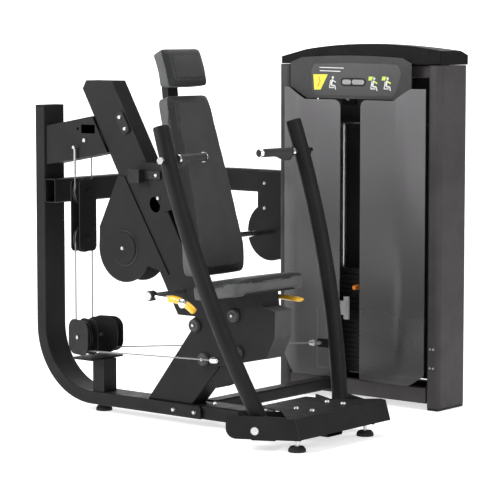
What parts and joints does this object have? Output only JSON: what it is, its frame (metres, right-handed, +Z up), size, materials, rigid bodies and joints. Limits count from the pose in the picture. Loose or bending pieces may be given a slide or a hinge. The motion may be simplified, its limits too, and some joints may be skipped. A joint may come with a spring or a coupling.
{
  "type": "chest press machine",
  "caption": "Seated chest press machine: padded seat and back on a leaning frame, two swinging press arms, cable drive and a shrouded weight stack tower.",
  "frame": {"origin": "centre of the overall bounding box on the floor", "axes": "+X across the machine towards the weight tower, +Y backwards from the foot plate, +Z up"},
  "size_m": [1.5028, 1.599, 1.52],
  "materials": {
    "frame_paint": "fine textured powder coat",
    "tower_paint": "fine textured powder coat",
    "upholstery": "matte grained vinyl",
    "chrome": "polished",
    "fastener": "zinc plated",
    "rubber": "matte",
    "cable_coat": "nylon coat",
    "pulley_plastic": "moulded nylon",
    "lever_yellow": "moulded plastic over steel",
    "pin_orange": "moulded plastic",
    "plate_paint": "painted steel",
    "smoked_panel": "smoked translucent",
    "placard_face": "printed film",
    "grey_plastic": "moulded plastic"
  },
  "bodies": {
    "frame": {"arm_stops": "rubber", "back_beam": "frame_paint", "back_frame": "frame_paint", "back_pad": "upholstery", "cross_beams": "frame_paint", "foot_pads": "rubber", "foot_plate": "frame_paint", "frame_bolts": "fastener", "frame_cables": "cable_coat", "front_stub": "frame_paint", "guard_plates": "frame_paint", "guide_rods": "chrome", "head_pad": "upholstery", "joint_plates": "frame_paint", "left_arm_cable": "cable_coat", "main_rail": "frame_paint", "pin_holder": "grey_plastic", "pivot_plates": "frame_paint", "placard": "placard_face", "pulley_housings": "frame_paint", "rear_arm_tube": "frame_paint", "right_arm_cable": "cable_coat", "rubber_parts": "rubber", "seat_post": "frame_paint", "seat_strut": "frame_paint", "shroud_panels": "smoked_panel", "stack_plates": "plate_paint", "tower_crown": "tower_paint", "tower_posts": "tower_paint", "tower_rails": "tower_paint"},
    "right_press": {"right_arm": "frame_paint", "right_grip": "rubber", "right_trim": "chrome"},
    "left_press": {"left_arm": "frame_paint", "left_grip": "rubber", "left_trim": "chrome"},
    "right_shackle": {"right_cable_end": "fastener"},
    "left_shackle": {"left_cable_end": "fastener"},
    "block": {"block_cheeks": "frame_paint", "block_lower_pulley": "pulley_plastic", "block_cable": "cable_coat", "upper_strands": "cable_coat", "lower_strands": "cable_coat"},
    "block_wheel": {"block_upper_pulley": "pulley_plastic"},
    "right_wheel": {"right_rear_pulley": "pulley_plastic"},
    "left_wheel": {"left_rear_pulley": "pulley_plastic"},
    "tube_wheel": {"tube_pulley": "pulley_plastic"},
    "cam_shaft": {"cross_shaft": "chrome", "cable_wheels": "frame_paint"},
    "low_wheel": {"tower_pulley_low": "pulley_plastic"},
    "top_wheel": {"tower_pulley_top": "pulley_plastic"},
    "lifted_stack": {"lifted_plates": "plate_paint", "selector_rod": "chrome", "stack_cable": "cable_coat"},
    "pin": {"selector_pin": "pin_orange"},
    "seat": {"seat_carriage": "frame_paint", "seat_rollers": "pulley_plastic", "seat_pad": "upholstery"},
    "seat_release": {"seat_lever": "lever_yellow"},
    "start_pedal": {"start_lever": "lever_yellow"}
  },
  "joints": [
    {"name": "right_arm_swing", "type": "hinge", "parent": "frame", "child": "right_press", "pos_m": [-0.54264, -0.5745, 0.078], "axis": [0.891, 0.454, 0], "range_deg": [0, 17]},
    {"name": "left_arm_swing", "type": "hinge", "parent": "frame", "child": "left_press", "pos_m": [-0.03064, -0.5745, 0.078], "axis": [0.891, -0.454, 0], "range_deg": [0, 17.2]},
    {"name": "right_shackle_travel", "type": "slide", "parent": "frame", "child": "right_shackle", "axis": [0.415, -0.8144, 0.4056], "range_m": [0, 0.08976]},
    {"name": "left_shackle_travel", "type": "slide", "parent": "frame", "child": "left_shackle", "axis": [-0.415, -0.8144, 0.4056], "range_m": [0, 0.08976]},
    {"name": "block_drop", "type": "slide", "parent": "frame", "child": "block", "axis": [0, 0, -1], "range_m": [0, 0.06644], "deforming": ["upper_strands", "lower_strands"]},
    {"name": "block_wheel_turn", "type": "hinge", "parent": "block", "child": "block_wheel", "pos_m": [-0.29864, 0.5615, 0.909], "axis": [0, 1, 0], "range_deg": [0, 75.84]},
    {"name": "right_wheel_turn", "type": "hinge", "parent": "frame", "child": "right_wheel", "pos_m": [-0.36294, 0.50632, 0.312], "axis": [-0.9681, 0.2507, 0], "range_deg": [0, 66.77]},
    {"name": "left_wheel_turn", "type": "hinge", "parent": "frame", "child": "left_wheel", "pos_m": [-0.23435, 0.50632, 0.312], "axis": [0.9681, 0.2507, 0], "range_deg": [0, 66.77]},
    {"name": "tube_wheel_turn", "type": "hinge", "parent": "frame", "child": "tube_wheel", "pos_m": [-0.24864, 0.5165, 1.125], "axis": [1, 0, 0], "range_deg": [-166.08, 0]},
    {"name": "cam_shaft_turn", "type": "hinge", "parent": "frame", "child": "cam_shaft", "pos_m": [-0.24864, 0.3015, 0.692], "axis": [1, 0, 0], "range_deg": [-94.3, 0]},
    {"name": "low_wheel_turn", "type": "hinge", "parent": "frame", "child": "low_wheel", "pos_m": [0.65336, 0.0115, 0.831], "axis": [1, 0, 0], "range_deg": [0, 194.8]},
    {"name": "top_wheel_turn", "type": "hinge", "parent": "frame", "child": "top_wheel", "pos_m": [0.65336, -0.1135, 1.285], "axis": [1, 0, 0], "range_deg": [-110.45, 0]},
    {"name": "stack_lift", "type": "slide", "parent": "frame", "child": "lifted_stack", "axis": [0, 0, 1], "range_m": [0, 0.15443], "deforming": ["stack_cable"]},
    {"name": "pin_pull", "type": "slide", "parent": "lifted_stack", "child": "pin", "axis": [-1, 0, 0], "range_m": [0, 0.05]},
    {"name": "seat_height", "type": "slide", "parent": "frame", "child": "seat", "axis": [0, 0.3305, 0.9438], "range_m": [-0.05, 0]},
    {"name": "seat_release_turn", "type": "hinge", "parent": "seat", "child": "seat_release", "pos_m": [-0.28664, -0.3085, 0.52], "axis": [-1, 0, 0], "range_deg": [0, 12], "stiffness_Nm_per_rad": 2, "springref_deg": -17.19},
    {"name": "start_pedal_turn", "type": "hinge", "parent": "frame", "child": "start_pedal", "pos_m": [-0.51864, -0.0115, 0.537], "axis": [1, 0, 0], "range_deg": [0, 20], "stiffness_Nm_per_rad": 8, "springref_deg": -22.92}
  ],
  "couplings": [
    {"joint": "left_arm_swing", "follows": "right_arm_swing", "ratio": 1},
    {"joint": "right_shackle_travel", "follows": "right_arm_swing", "m_per_rad": 0.29577},
    {"joint": "left_shackle_travel", "follows": "right_arm_swing", "m_per_rad": 0.29577},
    {"joint": "block_drop", "follows": "right_arm_swing", "m_per_rad": 0.21717},
    {"joint": "block_wheel_turn", "follows": "right_arm_swing", "ratio": 4.3434},
    {"joint": "right_wheel_turn", "follows": "right_arm_swing", "ratio": 3.81},
    {"joint": "left_wheel_turn", "follows": "right_arm_swing", "ratio": 3.81},
    {"joint": "tube_wheel_turn", "follows": "right_arm_swing", "ratio": -9.6521},
    {"joint": "cam_shaft_turn", "follows": "right_arm_swing", "ratio": -5.4293},
    {"joint": "low_wheel_turn", "follows": "right_arm_swing", "ratio": 11.341},
    {"joint": "top_wheel_turn", "follows": "right_arm_swing", "ratio": -6.3794},
    {"joint": "stack_lift", "follows": "right_arm_swing", "m_per_rad": 0.51035}
  ]
}
